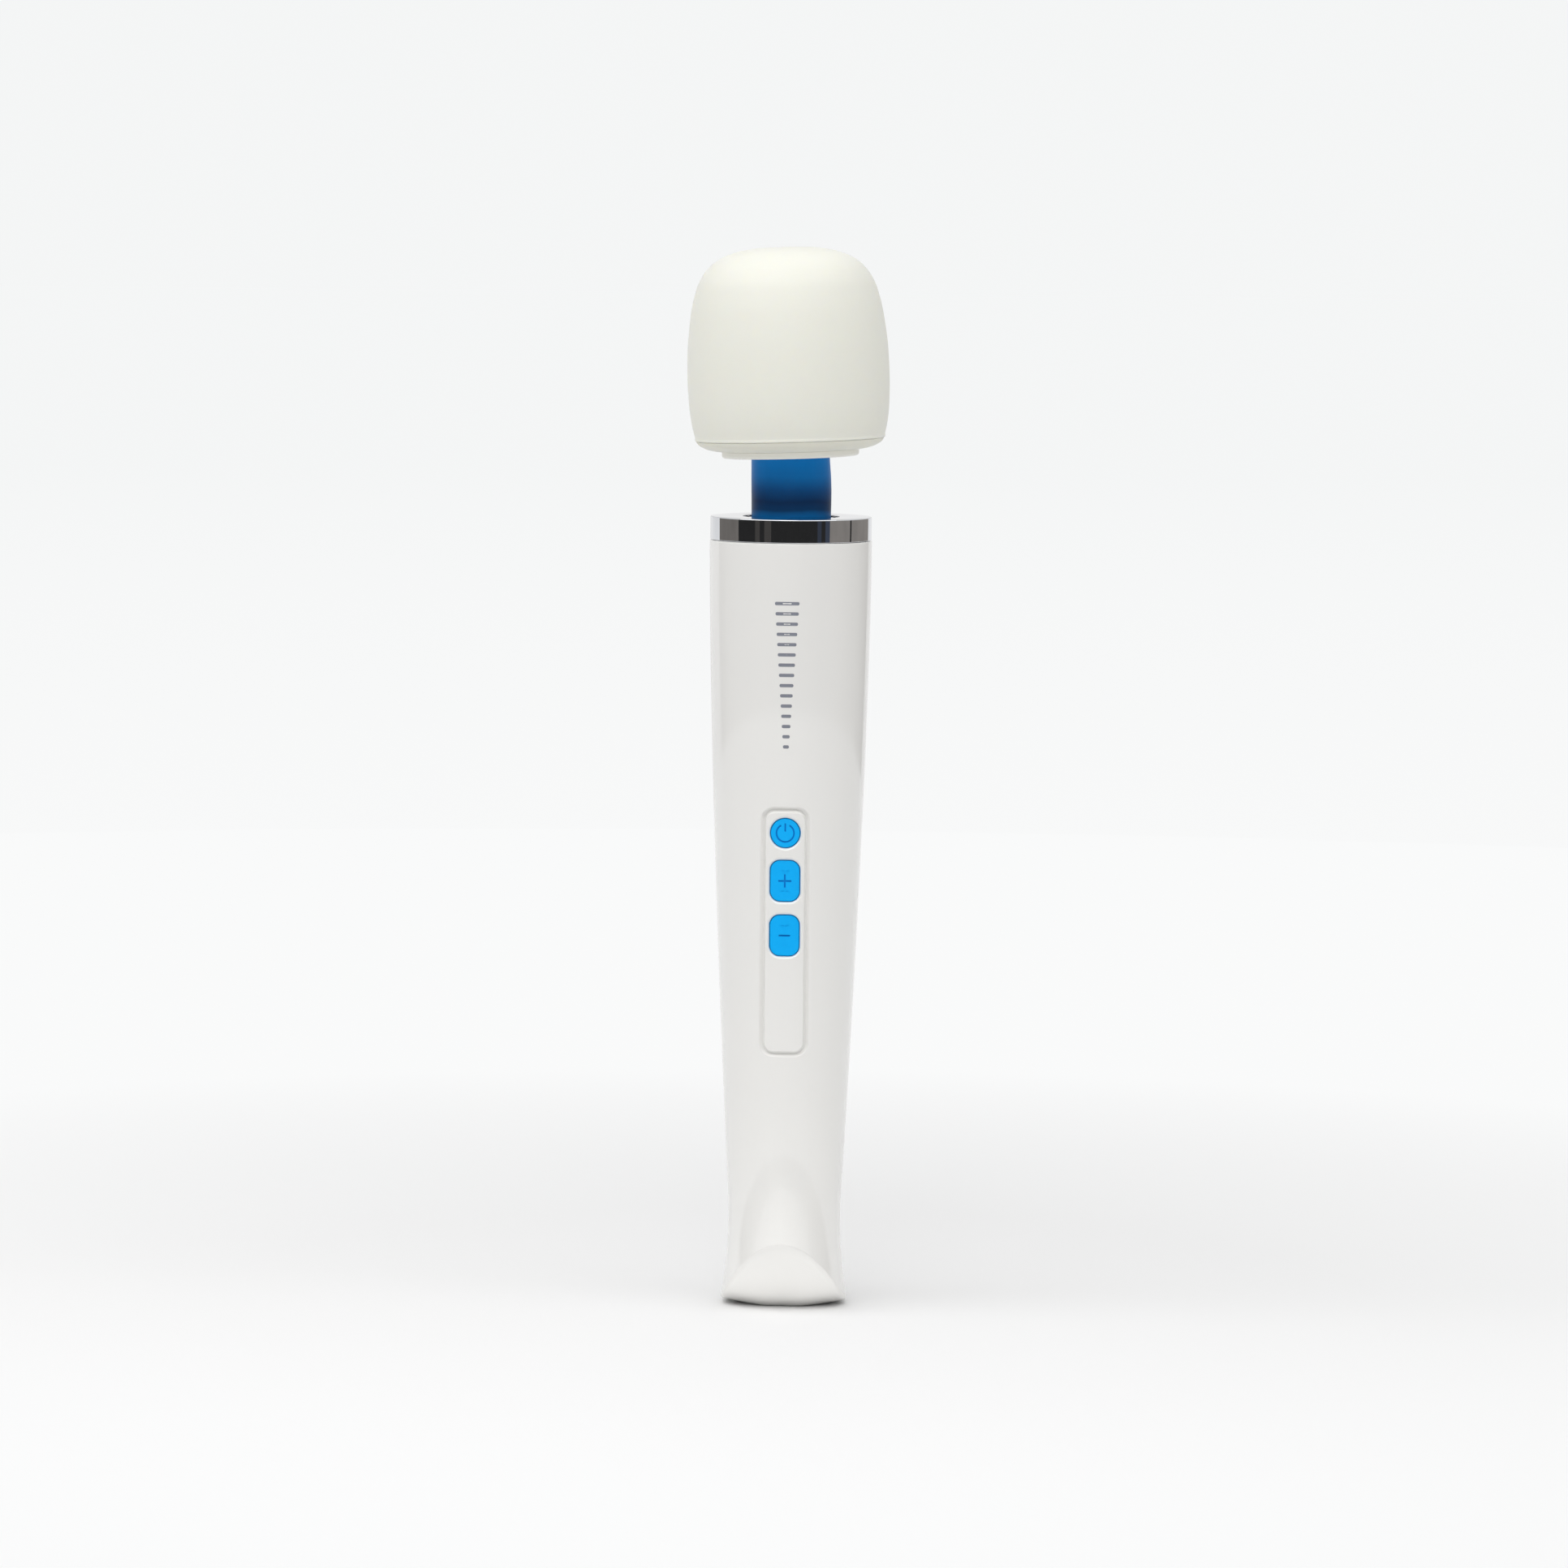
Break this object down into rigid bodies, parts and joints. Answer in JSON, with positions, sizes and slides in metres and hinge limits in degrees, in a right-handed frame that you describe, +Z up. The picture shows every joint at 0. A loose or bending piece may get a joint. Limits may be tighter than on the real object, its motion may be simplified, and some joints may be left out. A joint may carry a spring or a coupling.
{
  "type": "handheld wand massager",
  "caption": "Handheld wand massager: a tapered handle with a flared foot and push buttons, a chrome ring, and a cushioned vibrating head on a flexible neck.",
  "frame": {"origin": "on the flat of the foot, on the axis of the handle, where the wand stands", "axes": "+Z up the handle towards the head; the buttons face -Y; +X to the right seen from the front"},
  "size_m": [0.0616, 0.0614, 0.324],
  "materials": {
    "shell_white": "high gloss warm white ABS",
    "plug_white": "satin warm white plastic plugs",
    "collar_white": "satin off-white plastic",
    "chrome_ring": "mirror chrome plating",
    "neck_blue": "satin translucent blue elastomer",
    "button_blue": "matte sky-blue rubber with engraved symbols",
    "web_blue": "matte blue rubber",
    "cushion_silicone": "smooth matte ivory silicone",
    "base_silicone": "smooth matte ivory silicone",
    "core_dark": "moulded glass-filled nylon",
    "board_green": "solder-masked fibreglass laminate",
    "switch_black": "moulded black plastic",
    "screw_steel": "zinc-plated steel",
    "can_steel": "drawn plated steel",
    "shaft_steel": "ground steel",
    "spring_steel": "drawn spring wire",
    "magnet_ferrite": "sintered ferrite",
    "bush_bronze": "sintered bronze",
    "brush_carbon": "pressed carbon",
    "winding_copper": "enamelled copper winding",
    "weight_brass": "turned brass",
    "damper_rubber": "soft black rubber",
    "lead_red": "insulated wire",
    "lead_black": "insulated wire"
  },
  "bodies": {
    "handle": {"front_shell": "shell_white", "rear_shell": "shell_white", "shell_screw_upper_left": "screw_steel", "screw_plug_upper_left": "plug_white", "shell_screw_upper_right": "screw_steel", "screw_plug_upper_right": "plug_white", "shell_screw_lower_left": "screw_steel", "screw_plug_lower_left": "plug_white", "shell_screw_lower_right": "screw_steel", "screw_plug_lower_right": "plug_white", "foot_cap": "shell_white", "inlet_socket": "switch_black", "inlet_pin": "weight_brass", "trim_ring": "chrome_ring", "keypad_web": "web_blue", "control_board": "board_green", "power_switch": "switch_black", "plus_switch": "switch_black", "minus_switch": "switch_black", "board_screw_upper": "screw_steel", "board_screw_lower": "screw_steel", "motor_can": "can_steel", "motor_magnet_left": "magnet_ferrite", "motor_magnet_right": "magnet_ferrite", "motor_end_cap": "core_dark", "motor_bush_lower": "bush_bronze", "motor_bush_upper": "bush_bronze", "motor_brush_left": "brush_carbon", "motor_brush_right": "brush_carbon", "motor_damper_lower": "damper_rubber", "motor_damper_upper": "damper_rubber", "motor_mount": "core_dark", "mount_screw_left": "screw_steel", "mount_screw_right": "screw_steel", "neck_clamp": "core_dark", "motor_lead_red": "lead_red", "inlet_lead_red": "lead_red", "motor_lead_black": "lead_black", "inlet_lead_black": "lead_black"},
    "power_button": {"power_button": "button_blue"},
    "plus_button": {"plus_button": "button_blue"},
    "minus_button": {"minus_button": "button_blue"},
    "rotor": {"rotor_core": "winding_copper", "rotor_shaft": "shaft_steel", "commutator": "winding_copper", "drive_coupling": "weight_brass", "drive_spring": "spring_steel"},
    "neck": {"neck_sleeve": "neck_blue"},
    "head": {"head_cushion": "cushion_silicone", "head_base_ring": "base_silicone", "head_collar": "collar_white", "head_core_lower": "core_dark", "head_core_upper": "core_dark", "head_bearing_lower": "shaft_steel", "head_bearing_upper": "shaft_steel", "head_screw_1": "screw_steel", "head_screw_2": "screw_steel", "head_screw_3": "screw_steel"},
    "eccentric": {"eccentric_shaft": "shaft_steel", "eccentric_weight": "weight_brass"}
  },
  "joints": [
    {"name": "power_press", "type": "slide", "parent": "handle", "child": "power_button", "axis": [0, 1, 0], "range_m": [0, 0.0006], "stiffness_N_per_m": 1500},
    {"name": "plus_press", "type": "slide", "parent": "handle", "child": "plus_button", "axis": [0, 1, 0], "range_m": [0, 0.0006], "stiffness_N_per_m": 1500},
    {"name": "minus_press", "type": "slide", "parent": "handle", "child": "minus_button", "axis": [0, 1, 0], "range_m": [0, 0.0006], "stiffness_N_per_m": 1500},
    {"name": "rotor_spin", "type": "hinge", "parent": "handle", "child": "rotor", "pos_m": [0, 0, 0.195], "axis": [0, 0, 1], "continuous": true, "deforming": ["drive_spring"]},
    {"name": "neck_tilt_side", "type": "hinge", "parent": "handle", "child": "neck", "pos_m": [0, 0, 0.25], "axis": [0, 1, 0], "range_deg": [-20, 20], "stiffness_Nm_per_rad": 5, "deforming": ["neck_sleeve", "drive_spring"]},
    {"name": "neck_tilt_front", "type": "hinge", "parent": "neck", "child": "head", "pos_m": [0, 0, 0.25], "axis": [1, 0, 0], "range_deg": [-20, 20], "stiffness_Nm_per_rad": 5, "deforming": ["neck_sleeve", "drive_spring"]},
    {"name": "eccentric_spin", "type": "hinge", "parent": "head", "child": "eccentric", "pos_m": [0, 0, 0.25], "axis": [-0.0349, 0, 0.9994], "continuous": true}
  ],
  "couplings": [
    {"joint": "eccentric_spin", "follows": "rotor_spin", "ratio": 1}
  ]
}
